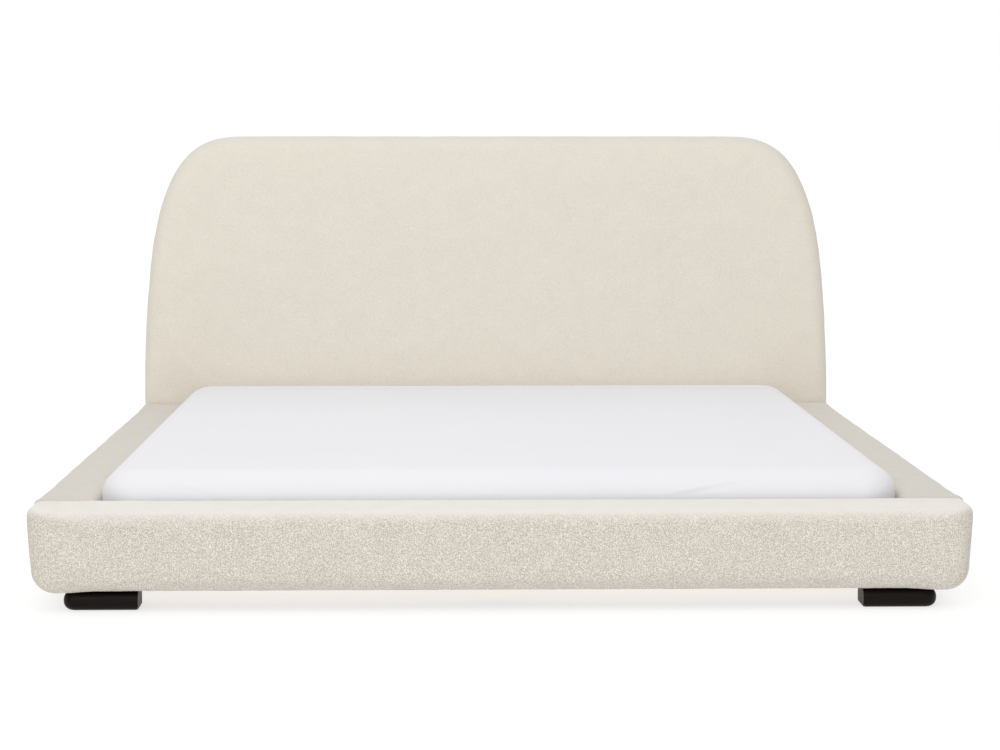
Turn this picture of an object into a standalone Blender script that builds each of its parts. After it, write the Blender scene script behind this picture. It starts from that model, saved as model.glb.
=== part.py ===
"""King-size upholstered platform bed with a tall, round-shouldered headboard.

Three padded rails stand on four low wooden feet and make a tray, which holds a slatted deck and the
mattress. The headboard closes the tray's rear end. Metres, +Z up, X across the bed, the foot end at -Y.
The origin is on the floor, under the middle of the bed.
"""

import math
from collections import namedtuple

import bmesh
import bpy

# ---------------------------------------------------------------- driving dimensions
CLEAR = 0.0003  # gap between pieces that touch

MATTRESS_WIDTH = 1.930
MATTRESS_LENGTH = 2.030
MATTRESS_HEIGHT = 0.210
SIDE_GAP = 0.005  # mattress to side rail
FOOT_GAP = 0.008  # mattress to foot rail
HEAD_GAP = 0.004  # mattress to headboard

RAIL_WIDTH = 0.145
RAIL_HEIGHT = 0.205
FOOT_HEIGHT = 0.047
CORNER_RADIUS = 0.055  # upright corners at the foot end, seen from above

HEADBOARD_HEIGHT = 1.120  # floor to top edge
HEADBOARD_THICKNESS = 0.110
SHOULDER_WIDTH = 0.370  # the round shoulder is a superellipse: its half axis across the bed,
SHOULDER_POWER = 3.25  # its exponent,
SHOULDER_FOOT = 0.145  # and the height above the floor where it runs into the upright side
HEADBOARD_FRONT_ROLL = 0.030
HEADBOARD_BACK_ROLL = 0.012
HEADBOARD_BOTTOM_ROLL = 0.010
HEADBOARD_LOW_CORNER = 0.040

COVER = 0.003  # thickness of the loop-pile cloth
BACK_HEM = 0.060  # width of the cloth turned in over the headboard's back
DUST_CLOTH = 0.001
DUST_CLOTH_MARGIN = 0.002  # from the cover's lower rim
SHEET = 0.0015

HEADBOARD_FRONT_FOAM = 0.035
HEADBOARD_EDGE_FOAM = 0.020
HEADBOARD_BOTTOM_FOAM = 0.008
FACE_PLY = 0.009
STUD_WIDTH = 0.070
STUD_BOTTOM_RAIL = 0.080
STUD_MIDDLE_RAIL_Z = 0.500
STUD_BAYS = 4

BOARD = 0.018  # wall of the rails' wooden box beams
BEAM_ARRIS = 0.004  # radius of their upright edges
FOOT_BLOCK = 0.250  # solid stretch of a beam where a foot is screwed on
PLAIN_BLOCK = 0.060  # solid stretch at a beam's other end
TOP_FOAM = 0.020

SLAT_COUNT = 12
SLAT_WIDTH = 0.089
SLAT_THICKNESS = 0.018
SLAT_END_GAP = 0.003  # slat end to the upholstered side rail
SLAT_FOOT_MARGIN = 0.010  # first slat to the foot rail
SLAT_HEAD_MARGIN = 0.010  # last slat to the head rail
TAPE_WIDTH = 0.040
TAPE_THICKNESS = 0.001

LEDGER_WIDTH = 0.030
LEDGER_HEIGHT = 0.037
BEAM_WIDTH = 0.070
BEAM_HEIGHT = 0.040
HEAD_RAIL_THICKNESS = 0.028
HEAD_RAIL_HEIGHT = 0.042
DECK_RISE = 0.0447  # rails' underside to the top of the ledgers, the centre beam and the head rail
HEM_ABOVE_SUPPORT = 0.004  # the rails' cloth ends this far above the ledgers, on the tray's side

BRACKET_LEG = 0.050
BRACKET_HEIGHT = 0.034
STEEL = 0.004
HANGER_DEPTH = 0.040
HANGER_STEEL = 0.003
HANGER_TOP_DROP = 0.006

BOLT_RADIUS = 0.004
BOLT_HOLE_RADIUS = 0.0044
BOLT_HEAD_RADIUS = 0.008
BOLT_HEAD_HEIGHT = 0.005
BOLT_HEAD_BEVEL = 0.0018
BRACKET_BOLT_INSET = 0.036  # bolt to the bracket's corner
BRACKET_BOLT_LENGTH = 0.0225
HEADBOARD_BOLT_X = 0.550
HEADBOARD_BOLT_BITE = 0.030  # length of the bolt inside the stud frame
HOLE_END_GAP = 0.002

FOOT_LENGTH = 0.178
FOOT_DEPTH = 0.090
FRONT_FOOT_SIDE_INSET = 0.079  # front foot to the bed's side
FRONT_FOOT_INSET = 0.045  # front foot to the bed's foot end
REAR_FOOT_SIDE_INSET = 0.048
REAR_FOOT_HEAD_INSET = 0.025  # rear foot to the headboard

LEG_RADIUS = 0.025
LEG_COUNT = 2
LEG_BEVEL = 0.002  # round the leg's foot and the glide's pad
GLIDE_PAD_RADIUS = 0.018
GLIDE_PAD_HEIGHT = 0.008
GLIDE_STEM_RADIUS = 0.004
GLIDE_HOLE_RADIUS = 0.0044
GLIDE_HOLE_ROOF = 0.0074  # wood left over the hole in the leg
GLIDE_STEM_GAP = 0.008  # stem's tip to the end of its hole
GLIDE_TRAVEL_UP = 0.004  # pad to leg, with the pad on the floor

ROLL_STEPS = 5  # facets round a rolled edge
CORNER_STEPS = 5
SHOULDER_STEPS = 14
ROUND_SIDES = 20
SMALL_SIDES = 12  # of bolts, their holes and the glides
SHARP_ANGLE = math.radians(40)  # edges flatter than this are shaded smooth

# ---------------------------------------------------------------- sizes that follow
WELL_HALF = MATTRESS_WIDTH / 2 + SIDE_GAP
HALF_WIDTH = WELL_HALF + RAIL_WIDTH
DEPTH = RAIL_WIDTH + FOOT_GAP + MATTRESS_LENGTH + HEAD_GAP + HEADBOARD_THICKNESS
FRONT_Y = -DEPTH / 2
BACK_Y = DEPTH / 2
WELL_FRONT_Y = FRONT_Y + RAIL_WIDTH
HEAD_Y = BACK_Y - HEADBOARD_THICKNESS
RAIL_TOP = FOOT_HEIGHT + RAIL_HEIGHT
SHOULDER_DROP = HEADBOARD_HEIGHT - SHOULDER_FOOT

# foam thickness, and the radii of the rolls along the bottom and the top, of one side of a padded rail
Side = namedtuple("Side", "foam bottom top")
OUTER = Side(0.052, 0.050, 0.030)
INNER = Side(0.005, 0.004, 0.014)
END = Side(0.004, 0.004, 0.006)
MATTRESS_SIDE = Side(0.0, 0.030, 0.070)
FOOT_SHOW_SIDE = Side(0.0, 0.020, 0.022)
FOOT_HIDDEN_SIDE = Side(0.0, 0.005, 0.005)
MATTRESS_CORNER = 0.080
FOOT_CORNER = 0.030
SQUARE_CORNER = 0.008
LEAST_RADIUS = 0.001

CORE_X = WELL_HALF + COVER + INNER.foam + 2 * CLEAR  # side beams' bare inner faces
CORE_FRONT_Y = WELL_FRONT_Y - COVER - INNER.foam - 2 * CLEAR  # foot beam's bare inner face
HEAD_RAIL_BACK_Y = HEAD_Y - CLEAR
HEAD_RAIL_FRONT_Y = HEAD_RAIL_BACK_Y - HEAD_RAIL_THICKNESS
DECK_SUPPORT_TOP = FOOT_HEIGHT + DECK_RISE
HEM_TOP = DECK_SUPPORT_TOP + HEM_ABOVE_SUPPORT
SLAT_BOTTOM = DECK_SUPPORT_TOP + CLEAR
SLAT_TOP = SLAT_BOTTOM + SLAT_THICKNESS
DECK_TOP = SLAT_TOP + CLEAR + TAPE_THICKNESS + CLEAR
BRACKET_BOTTOM = DECK_SUPPORT_TOP - LEDGER_HEIGHT
STUD_FRONT_Y = HEAD_Y + COVER + HEADBOARD_FRONT_FOAM + FACE_PLY + 3 * CLEAR
COVER_BACK_Y = BACK_Y - DUST_CLOTH - CLEAR
STUD_BACK_Y = COVER_BACK_Y - COVER - CLEAR
STUD_INSET = COVER + HEADBOARD_EDGE_FOAM + 2 * CLEAR
STUD_BOTTOM_INSET = COVER + HEADBOARD_BOTTOM_FOAM + 2 * CLEAR
HEADBOARD_BOLT_Z = DECK_SUPPORT_TOP - HEAD_RAIL_HEIGHT / 2
LEG_TOP = DECK_SUPPORT_TOP - BEAM_HEIGHT - CLEAR
GLIDE_HOLE_TOP = LEG_TOP - GLIDE_HOLE_ROOF
GLIDE_STEM_TOP = GLIDE_HOLE_TOP - GLIDE_STEM_GAP
HEADBOARD_BOLT_LENGTH = STUD_FRONT_Y - HEAD_RAIL_FRONT_Y + CLEAR + HEADBOARD_BOLT_BITE

# colour, roughness and metallic value of each material
FINISHES = {
    "cream_loop_pile": ((0.80, 0.75, 0.67), 0.95, 0.0),
    "white_cotton": ((0.88, 0.88, 0.90), 0.85, 0.0),
    "black_lacquered_wood": ((0.012, 0.009, 0.008), 0.35, 0.0),
    "pine": ((0.70, 0.52, 0.32), 0.60, 0.0),
    "plywood": ((0.62, 0.47, 0.30), 0.65, 0.0),
    "foam": ((0.83, 0.79, 0.62), 0.95, 0.0),
    "mattress_ticking": ((0.82, 0.81, 0.78), 0.90, 0.0),
    "black_dust_cloth": ((0.02, 0.02, 0.02), 0.90, 0.0),
    "zinc_plated_steel": ((0.55, 0.55, 0.56), 0.35, 1.0),
    "black_powder_coat": ((0.03, 0.03, 0.03), 0.50, 0.0),
    "black_nylon": ((0.03, 0.03, 0.03), 0.45, 0.0),
    "grey_webbing": ((0.30, 0.29, 0.27), 0.90, 0.0),
}


# ---------------------------------------------------------------- shape helpers
def clear_scene():
    for obj in list(bpy.data.objects):
        bpy.data.objects.remove(obj, do_unlink=True)


def finish(name):
    """The Principled material of that name, made once."""
    found = bpy.data.materials.get(name)
    if found:
        return found
    colour, roughness, metallic = FINISHES[name]
    made = bpy.data.materials.new(name)
    made.use_nodes = True
    shader = made.node_tree.nodes["Principled BSDF"]
    shader.inputs["Base Color"].default_value = (*colour, 1.0)
    shader.inputs["Roughness"].default_value = roughness
    shader.inputs["Metallic"].default_value = metallic
    return made


def add_object(name, bm, finish_name=None):
    """Puts the bmesh in the scene as an object; one with no finish is a hidden cutter."""
    bmesh.ops.recalc_face_normals(bm, faces=bm.faces[:])
    mesh = bpy.data.meshes.new(name)
    bm.to_mesh(mesh)
    bm.free()
    mesh.shade_smooth()
    mesh.set_sharp_from_angle(angle=SHARP_ANGLE)
    obj = bpy.data.objects.new(name, mesh)
    bpy.context.scene.collection.objects.link(obj)
    if finish_name:
        mesh.materials.append(finish(finish_name))
    else:
        obj.hide_render = True
        obj.display_type = "WIRE"
    return obj


def box(name, low, high, finish_name=None):
    """An upright box from its lowest corner to its highest."""
    bm = bmesh.new()
    made = bmesh.ops.create_cube(bm, size=1.0)
    for vert in made["verts"]:
        vert.co = [low[k] if vert.co[k] < 0 else high[k] for k in range(3)]
    return add_object(name, bm, finish_name)


def loft(name, rings, finish_name=None):
    """Skins rings of equally many points and caps the first and the last."""
    bm = bmesh.new()
    loops = [[bm.verts.new(point) for point in ring] for ring in rings]
    count = len(rings[0])
    for lower, upper in zip(loops, loops[1:]):
        for k in range(count):
            after = (k + 1) % count
            bm.faces.new((lower[k], lower[after], upper[after], upper[k]))
    bm.faces.new(loops[0])
    bm.faces.new(loops[-1])
    return add_object(name, bm, finish_name)


def turned(name, stages, centre, direction, finish_name=None, sides=ROUND_SIDES):
    """A turned piece: stages are (distance along the axis, radius), and direction is an axis letter
    with a sign, such as '+Z'."""
    axis = "XYZ".index(direction[1])
    sign = 1 if direction[0] == "+" else -1
    across = [k for k in range(3) if k != axis]
    rings = []
    for along, radius in stages:
        ring = []
        for k in range(sides):
            angle = 2 * math.pi * k / sides
            point = list(centre)
            point[axis] += sign * along
            point[across[0]] += radius * math.cos(angle)
            point[across[1]] += radius * math.sin(angle)
            ring.append(point)
        rings.append(ring)
    return loft(name, rings, finish_name)


def cut(obj, *cutters):
    for cutter in cutters:
        modifier = obj.modifiers.new("cut_" + cutter.name, "BOOLEAN")
        modifier.operation = "DIFFERENCE"
        modifier.object = cutter
    return obj


def quarter_round(depth, radius):
    """How far a rounded edge stands in from the face, this deep below the edge's flat end."""
    if depth >= radius:
        return 0.0
    return radius - math.sqrt(radius**2 - (radius - depth) ** 2)


def roll_depths(radius):
    """Depths of the facets' edges round a rounded edge, from the flat end to the face."""
    return [radius * (1 - math.cos(math.pi / 2 * k / ROLL_STEPS)) for k in range(ROLL_STEPS + 1)]


def rounded_rectangle(x_low, x_high, y_low, y_high, corners):
    """Points anticlockwise from the -X -Y corner; corners are four (radius, facets)."""
    centres = [
        (x_low, y_low, 1, 1),
        (x_high, y_low, -1, 1),
        (x_high, y_high, -1, -1),
        (x_low, y_high, 1, -1),
    ]
    points = []
    for turn, ((x, y, sx, sy), (radius, facets)) in enumerate(zip(centres, corners)):
        for k in range(facets + 1):
            angle = math.pi + math.pi / 2 * (turn + k / facets)
            points.append(
                (
                    x + sx * radius + radius * math.cos(angle),
                    y + sy * radius + radius * math.sin(angle),
                )
            )
    return points


def block_rings(low, high, sides, corners, shrink=0.0):
    """Rings, bottom to top, round a block with rolled edges. sides are those facing -Y, +X, +Y and -X;
    corners are four (radius, facets) from the -X -Y one. shrink offsets the whole surface inwards."""
    z_low, z_high = low[2] + shrink, high[2] - shrink
    bottom = max(side.bottom for side in sides) - shrink
    top = max(side.top for side in sides) - shrink
    levels = [z_low + depth for depth in roll_depths(bottom)]
    levels += [z_high - depth for depth in reversed(roll_depths(top))]
    rings = []
    for z in levels:
        inset = [
            shrink
            + quarter_round(z - z_low, side.bottom - shrink)
            + quarter_round(z_high - z, side.top - shrink)
            for side in sides
        ]
        front, right, back, left = inset
        beside = [(left, front), (front, right), (right, back), (back, left)]
        rounds = [
            (max(radius - max(pair), LEAST_RADIUS), facets)
            for (radius, facets), pair in zip(corners, beside)
        ]
        outline = rounded_rectangle(
            low[0] + left, high[0] - right, low[1] + front, high[1] - back, rounds
        )
        rings.append([(x, y, z) for x, y in outline])
    return rings


def shell(name, low, high, sides, corners, wall, finish_name):
    """A block's skin of that thickness, open underneath."""
    outside = block_rings(low, high, sides, corners)
    inside = block_rings(low, high, sides, corners, wall)
    return loft(name, inside[::-1] + outside, finish_name)


def bolt(name, head_face, direction, length):
    """A bolt whose head sits on the point head_face and whose shank runs along direction."""
    stages = [
        (-BOLT_HEAD_HEIGHT, BOLT_HEAD_RADIUS - BOLT_HEAD_BEVEL),
        (BOLT_HEAD_BEVEL - BOLT_HEAD_HEIGHT, BOLT_HEAD_RADIUS),
        (0.0, BOLT_HEAD_RADIUS),
        (0.0, BOLT_RADIUS),
        (length, BOLT_RADIUS),
    ]
    return turned(name, stages, head_face, direction, "zinc_plated_steel", sides=SMALL_SIDES)


def bolt_hole(name, start, direction, length):
    """A cutter for a bolt's hole, from ahead of the face under its head to past its tip."""
    stages = [(-STEEL, BOLT_HOLE_RADIUS), (length + HOLE_END_GAP, BOLT_HOLE_RADIUS)]
    return turned(name, stages, start, direction, sides=SMALL_SIDES)


# ---------------------------------------------------------------- padded rails
def core_box(low, high, sides):
    """Lowest and highest corner of the wooden beam inside a padded rail."""
    front, right, back, left = (COVER + side.foam + 2 * CLEAR for side in sides)
    return (
        (low[0] + left, low[1] + front, low[2] + DUST_CLOTH + CLEAR),
        (high[0] - right, high[1] - back, high[2] - COVER - TOP_FOAM - 2 * CLEAR),
    )


def beam_rings(core, corners, grow, z_levels):
    """Rings round a beam's upright faces, offset outwards by grow, at the given heights."""
    (x_low, y_low, _), (x_high, y_high, _) = core
    rounds = [(BEAM_ARRIS + grow, facets) for _, facets in corners]
    outline = rounded_rectangle(x_low - grow, x_high + grow, y_low - grow, y_high + grow, rounds)
    return [[(x, y, z) for x, y in outline] for z in z_levels]


def rail_foam(name, low, high, sides, corners, core):
    """The foam wrapped over a beam: the cover's inside on the outside, the beam on the inside."""
    outside = block_rings(low, high, sides, corners, COVER + CLEAR)
    inside = beam_rings(core, corners, CLEAR, (core[1][2] + CLEAR, outside[0][0][2]))
    return loft(name, inside + outside, "foam")


def padded_rail(name, low, high, sides, corners, hollow, well):
    """One rail: a wooden box beam, open underneath between its solid ends, in foam and cloth. hollow is
    where the beam is hollow along its length, as (axis, start, end)."""
    core = core_box(low, high, sides)
    beam = loft(
        name + "_box_beam", beam_rings(core, corners, 0.0, (core[0][2], core[1][2])), "plywood"
    )
    cavity_low = [core[0][0] + BOARD, core[0][1] + BOARD, core[0][2] - BOARD]
    cavity_high = [core[1][0] - BOARD, core[1][1] - BOARD, core[1][2] - BOARD]
    axis, cavity_low[axis], cavity_high[axis] = hollow
    cut(beam, box(name + "_cavity", cavity_low, cavity_high))
    cut(rail_foam(name + "_foam", low, high, sides, corners, core), well)
    cut(shell(name + "_cover", low, high, sides, corners, COVER, "cream_loop_pile"), well)
    front, right, back, left = (
        COVER + side.foam + 2 * CLEAR if side is INNER else side.bottom + DUST_CLOTH_MARGIN
        for side in sides
    )
    box(
        name + "_dust_cloth",
        (low[0] + left, low[1] + front, low[2]),
        (high[0] - right, high[1] - back, low[2] + DUST_CLOTH),
        "black_dust_cloth",
    )
    return beam


def rails():
    """The foot rail across the bed and the two side rails behind it. Returns their beams."""
    well = box(
        "well_cutter",
        (-CORE_X - CLEAR, CORE_FRONT_Y - CLEAR, 0.0),
        (CORE_X + CLEAR, BACK_Y, HEM_TOP),
    )
    square = (SQUARE_CORNER, 1)
    beams = {
        "foot": padded_rail(
            "foot_rail",
            (-HALF_WIDTH, FRONT_Y, FOOT_HEIGHT),
            (HALF_WIDTH, WELL_FRONT_Y, RAIL_TOP),
            (OUTER, OUTER, INNER, OUTER),
            [(CORNER_RADIUS, CORNER_STEPS)] * 2 + [square] * 2,
            (0, -HALF_WIDTH + OUTER.foam + FOOT_BLOCK, HALF_WIDTH - OUTER.foam - FOOT_BLOCK),
            well,
        )
    }
    start, end = WELL_FRONT_Y + CLEAR, HEAD_Y - CLEAR
    hollow = (1, start + PLAIN_BLOCK, end - FOOT_BLOCK)
    for name, x_low, sides in (
        ("left", -HALF_WIDTH, (END, INNER, END, OUTER)),
        ("right", WELL_HALF, (END, OUTER, END, INNER)),
    ):
        beams[name] = padded_rail(
            name + "_side_rail",
            (x_low, start, FOOT_HEIGHT),
            (x_low + RAIL_WIDTH, end, RAIL_TOP),
            sides,
            [square] * 4,
            hollow,
            well,
        )
    return beams


# ---------------------------------------------------------------- headboard
def arch_height(x, inset):
    """Height of the headboard's outline at x, with the outline offset inwards by inset."""
    width, drop = SHOULDER_WIDTH - inset, SHOULDER_DROP - inset
    past = abs(x) - (HALF_WIDTH - inset - width)
    share = min(max(past / width, 0.0), 1.0)
    return HEADBOARD_HEIGHT - inset - drop * (1 - (1 - share**SHOULDER_POWER) ** (1 / SHOULDER_POWER))


def headboard_outline(inset, bottom_inset):
    """(x, z) points round the headboard, from the middle of its top edge: the right shoulder, the two low
    corners and the left shoulder."""
    width, drop = SHOULDER_WIDTH - inset, SHOULDER_DROP - inset
    x_shoulder = HALF_WIDTH - inset - width
    z_shoulder = HEADBOARD_HEIGHT - inset - drop
    half = []
    for k in range(SHOULDER_STEPS + 1):
        angle = math.pi / 2 * k / SHOULDER_STEPS
        across = math.sin(angle) ** (2 / SHOULDER_POWER)
        up = math.cos(angle) ** (2 / SHOULDER_POWER)
        half.append((x_shoulder + width * across, z_shoulder + drop * up))
    z_low = FOOT_HEIGHT + bottom_inset
    radius = max(HEADBOARD_LOW_CORNER - max(inset, bottom_inset), LEAST_RADIUS)
    for k in range(CORNER_STEPS):
        angle = math.pi / 2 * k / (CORNER_STEPS - 1)
        half.append(
            (
                HALF_WIDTH - inset - radius * (1 - math.cos(angle)),
                z_low + radius * (1 - math.sin(angle)),
            )
        )
    return half + [(-x, z) for x, z in reversed(half)]


def headboard_skin(shrink, y_back, hem=None):
    """Rings, front to back, round the headboard's surface offset inwards by shrink. hem adds a last ring
    turned in over the back, this far from the edge."""
    y_front = HEAD_Y + shrink
    front, back = HEADBOARD_FRONT_ROLL - shrink, HEADBOARD_BACK_ROLL - shrink
    levels = [y_front + depth for depth in roll_depths(front)]
    levels += [y_back - depth for depth in reversed(roll_depths(back))]
    rings = []
    for y in levels:
        near = min(y - y_front, y_back - y)
        inset = quarter_round(y - y_front, front) + quarter_round(y_back - y, back)
        bottom = quarter_round(near, HEADBOARD_BOTTOM_ROLL - shrink)
        rings.append([(x, y, z) for x, z in headboard_outline(shrink + inset, shrink + bottom)])
    if hem:
        rings.append([(x, y_back, z) for x, z in headboard_outline(hem, hem)])
    return rings


def plate(name, y_front, y_back, inset, bottom_inset, finish_name=None):
    """A flat panel with the headboard's outline."""
    outline = headboard_outline(inset, bottom_inset)
    return loft(name, [[(x, y, z) for x, z in outline] for y in (y_front, y_back)], finish_name)


def stud_windows():
    """Cutters for the openings between the studs, whose tops follow the arch."""
    rim = STUD_INSET + STUD_WIDTH
    half = HALF_WIDTH - rim
    pitch = (2 * half + STUD_WIDTH) / STUD_BAYS
    lower = (FOOT_HEIGHT + STUD_BOTTOM_RAIL, STUD_MIDDLE_RAIL_Z - STUD_WIDTH / 2)
    upper_bottom = STUD_MIDDLE_RAIL_Z + STUD_WIDTH / 2
    depths = (STUD_FRONT_Y - BOARD, STUD_BACK_Y + BOARD)
    cutters = []
    for bay in range(STUD_BAYS):
        x_low = -half + bay * pitch
        x_high = x_low + pitch - STUD_WIDTH
        cutters.append(
            box(f"low_window_{bay}", (x_low, depths[0], lower[0]), (x_high, depths[1], lower[1]))
        )
        xs = [x_low + (x_high - x_low) * k / SHOULDER_STEPS for k in range(SHOULDER_STEPS + 1)]
        arch = [(x, max(arch_height(x, rim), upper_bottom + STUD_WIDTH)) for x in xs]
        outline = [(x_high, upper_bottom), (x_low, upper_bottom)] + arch
        rings = [[(x, y, z) for x, z in outline] for y in depths]
        cutters.append(loft(f"high_window_{bay}", rings))
    return cutters


def headboard():
    """The five layers of the headboard. Returns the holes for the two bolts that hold it."""
    holes = [
        bolt_hole(
            f"headboard_bolt_hole_{side}",
            (side * HEADBOARD_BOLT_X, HEAD_RAIL_FRONT_Y - CLEAR, HEADBOARD_BOLT_Z),
            "+Y",
            HEADBOARD_BOLT_LENGTH,
        )
        for side in (-1, 1)
    ]
    inside = headboard_skin(COVER, COVER_BACK_Y - COVER, BACK_HEM)
    outside = headboard_skin(0.0, COVER_BACK_Y, BACK_HEM)
    cover = loft("headboard_cover", inside[::-1] + outside, "cream_loop_pile")
    cavity_front = HEAD_Y + COVER + CLEAR + HEADBOARD_FRONT_FOAM
    cavity = headboard_outline(STUD_INSET - CLEAR, STUD_BOTTOM_INSET - CLEAR)
    pocket = [[(x, y, z) for x, z in cavity] for y in (cavity_front, STUD_BACK_Y)]
    foam = loft(
        "headboard_foam", pocket + headboard_skin(COVER + CLEAR, STUD_BACK_Y)[::-1], "foam"
    )
    insets = STUD_INSET, STUD_BOTTOM_INSET
    ply_front = cavity_front + CLEAR
    ply = plate("headboard_face_ply", ply_front, ply_front + FACE_PLY, *insets, "plywood")
    frame = plate("headboard_stud_frame", STUD_FRONT_Y, STUD_BACK_Y, *insets, "pine")
    cut(frame, *stud_windows())
    for layer in (cover, foam, ply, frame):
        cut(layer, *holes)
    margin = BACK_HEM / 2
    plate("headboard_back_cloth", BACK_Y - DUST_CLOTH, BACK_Y, margin, margin, "black_dust_cloth")
    return holes


# ---------------------------------------------------------------- deck
def deck_timber():
    """Ledgers, head rail, centre beam and slats, with the tape that spaces the slats."""
    low, high = DECK_SUPPORT_TOP - LEDGER_HEIGHT, DECK_SUPPORT_TOP
    ends = STEEL + BRACKET_LEG
    for name, x in (("left_ledger", -CORE_X + CLEAR), ("right_ledger", CORE_X - CLEAR - LEDGER_WIDTH)):
        box(
            name,
            (x, CORE_FRONT_Y + ends, low),
            (x + LEDGER_WIDTH, HEAD_RAIL_FRONT_Y - ends, high),
            "pine",
        )
    head_rail = box(
        "head_rail",
        (-CORE_X + CLEAR, HEAD_RAIL_FRONT_Y, DECK_SUPPORT_TOP - HEAD_RAIL_HEIGHT),
        (CORE_X - CLEAR, HEAD_RAIL_BACK_Y, DECK_SUPPORT_TOP),
        "pine",
    )
    rest = CLEAR + HANGER_STEEL + CLEAR
    box(
        "centre_beam",
        (-BEAM_WIDTH / 2, CORE_FRONT_Y + rest, DECK_SUPPORT_TOP - BEAM_HEIGHT),
        (BEAM_WIDTH / 2, HEAD_RAIL_FRONT_Y - rest, DECK_SUPPORT_TOP),
        "pine",
    )
    first = WELL_FRONT_Y + SLAT_FOOT_MARGIN
    last = HEAD_RAIL_FRONT_Y - SLAT_HEAD_MARGIN - SLAT_WIDTH
    reach = WELL_HALF - SLAT_END_GAP
    for k in range(SLAT_COUNT):
        y = first + (last - first) * k / (SLAT_COUNT - 1)
        low_corner, high_corner = (-reach, y, SLAT_BOTTOM), (reach, y + SLAT_WIDTH, SLAT_TOP)
        box(f"slat_{k + 1:02d}", low_corner, high_corner, "pine")
    box(
        "slat_tape",
        (-TAPE_WIDTH / 2, first, SLAT_TOP + CLEAR),
        (TAPE_WIDTH / 2, last + SLAT_WIDTH, SLAT_TOP + CLEAR + TAPE_THICKNESS),
        "grey_webbing",
    )
    return head_rail


def hanger(name, y_low, y_high, closed_low):
    """A steel saddle under one end of the centre beam, closed at the timber that it is screwed to."""
    beam_low = DECK_SUPPORT_TOP - BEAM_HEIGHT
    half = BEAM_WIDTH / 2 + CLEAR
    saddle = box(
        name,
        (-half - HANGER_STEEL, y_low, beam_low - CLEAR - HANGER_STEEL),
        (half + HANGER_STEEL, y_high, DECK_SUPPORT_TOP - HANGER_TOP_DROP),
        "black_powder_coat",
    )
    open_low = y_low + HANGER_STEEL if closed_low else y_low - HANGER_STEEL
    open_high = y_high + HANGER_STEEL if closed_low else y_high - HANGER_STEEL
    cut(saddle, box(name + "_opening", (-half, open_low, beam_low - CLEAR), (half, open_high, DECK_TOP)))


def centre_supports():
    """The saddles, the legs under the centre beam and their screw-in glides."""
    foot_face, head_face = CORE_FRONT_Y + CLEAR, HEAD_RAIL_FRONT_Y - CLEAR
    hanger("beam_hanger_foot", foot_face, foot_face + HANGER_DEPTH, True)
    hanger("beam_hanger_head", head_face - HANGER_DEPTH, head_face, False)
    leg_bottom = GLIDE_PAD_HEIGHT + GLIDE_TRAVEL_UP
    for k in range(LEG_COUNT):
        y = CORE_FRONT_Y + (HEAD_RAIL_FRONT_Y - CORE_FRONT_Y) * (k + 1) / (LEG_COUNT + 1)
        leg = turned(
            f"centre_leg_{k + 1}",
            [
                (leg_bottom, LEG_RADIUS - LEG_BEVEL),
                (leg_bottom + LEG_BEVEL, LEG_RADIUS),
                (LEG_TOP, LEG_RADIUS),
            ],
            (0.0, y, 0.0),
            "+Z",
            "black_lacquered_wood",
        )
        hole = [(0.0, GLIDE_HOLE_RADIUS), (GLIDE_HOLE_TOP, GLIDE_HOLE_RADIUS)]
        cut(leg, turned(f"glide_hole_{k + 1}", hole, (0.0, y, 0.0), "+Z", sides=SMALL_SIDES))
        glide = turned(
            f"levelling_glide_{k + 1}",
            [
                (0.0, GLIDE_PAD_RADIUS - LEG_BEVEL),
                (LEG_BEVEL, GLIDE_PAD_RADIUS),
                (GLIDE_PAD_HEIGHT - LEG_BEVEL, GLIDE_PAD_RADIUS),
                (GLIDE_PAD_HEIGHT, GLIDE_PAD_RADIUS - LEG_BEVEL),
                (GLIDE_PAD_HEIGHT, GLIDE_STEM_RADIUS),
                (GLIDE_STEM_TOP, GLIDE_STEM_RADIUS),
            ],
            (0.0, 0.0, 0.0),
            "+Z",
            "black_nylon",
            sides=SMALL_SIDES,
        )
        glide.location = (0.0, y, 0.0)


# ---------------------------------------------------------------- hardware
def corner_bracket(name, x, y, side, end, side_beam, end_timber):
    """A steel angle in a corner of the tray, at (x, y), with one bolt into each timber. side is -1 on the
    left, and end is -1 at the foot end."""
    z_low, z_high = BRACKET_BOTTOM, BRACKET_BOTTOM + BRACKET_HEIGHT
    x_in, y_in = x - side * BRACKET_LEG, y - end * BRACKET_LEG
    angle = box(
        name,
        (min(x, x_in), min(y, y_in), z_low),
        (max(x, x_in), max(y, y_in), z_high),
        "black_powder_coat",
    )
    far_x, far_y = x_in - side * STEEL, y_in - end * STEEL
    near_x, near_y = x - side * STEEL, y - end * STEEL
    inside = box(
        name + "_inside",
        (min(near_x, far_x), min(near_y, far_y), z_low - STEEL),
        (max(near_x, far_x), max(near_y, far_y), z_high + STEEL),
    )
    z = (z_low + z_high) / 2
    face = STEEL + CLEAR
    side_start = (x - side * face, y - end * BRACKET_BOLT_INSET, z)
    end_start = (x - side * BRACKET_BOLT_INSET, y - end * face, z)
    side_axis = "+X" if side > 0 else "-X"
    end_axis = "+Y" if end > 0 else "-Y"
    side_hole = bolt_hole(name + "_side_hole", side_start, side_axis, BRACKET_BOLT_LENGTH)
    end_hole = bolt_hole(name + "_end_hole", end_start, end_axis, BRACKET_BOLT_LENGTH)
    cut(angle, inside, side_hole, end_hole)
    cut(side_beam, side_hole)
    cut(end_timber, end_hole)
    bolt(name + "_side_bolt", side_start, side_axis, BRACKET_BOLT_LENGTH)
    bolt(name + "_end_bolt", end_start, end_axis, BRACKET_BOLT_LENGTH)


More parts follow.
